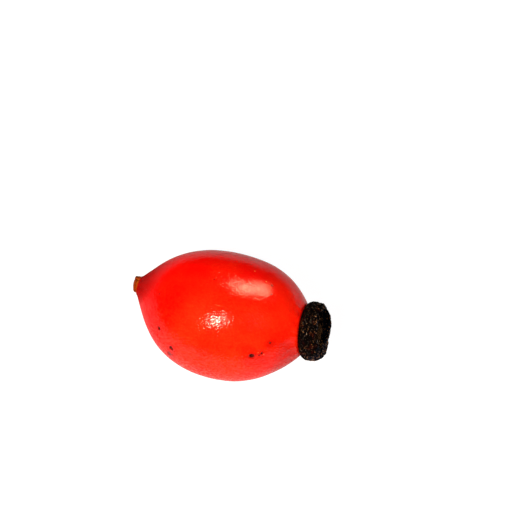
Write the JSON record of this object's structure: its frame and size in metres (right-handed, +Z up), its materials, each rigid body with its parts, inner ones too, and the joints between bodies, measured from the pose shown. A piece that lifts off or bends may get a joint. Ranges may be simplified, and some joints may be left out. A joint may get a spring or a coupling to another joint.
{
  "type": "rose hip",
  "caption": "Ripe rose hip lying on its side: a smooth red rounded fruit, narrowing to a scrap of stalk at one end, with the dried black flower at the other.",
  "frame": {"origin": "on the surface that the hip rests on, under the middle of the hip's box", "axes": "+X from the stalk towards the dried flower, +Z up"},
  "size_m": [0.028, 0.0174, 0.0172],
  "materials": {
    "skin": "ripe fruit skin: glossy scarlet with a fine pebbled shine, a few dark pits and specks",
    "stalk": "dry orange-brown stalk, dull and fibrous",
    "calyx": "shrivelled, nearly black sepals and cup, half glossy, with brown edges",
    "stamens": "dry dark brown stamens and styles, dull and fibrous"
  },
  "bodies": {
    "root": {"flesh": "skin", "stalk_scrap": "stalk", "calyx_cup": "calyx", "sepal_stub_1": "calyx", "sepal_stub_2": "calyx", "sepal_stub_3": "calyx", "sepal_stub_4": "calyx", "sepal_stub_5": "calyx", "stamen_ring": "stamens", "style_knob": "stamens"}
  },
  "joints": []
}
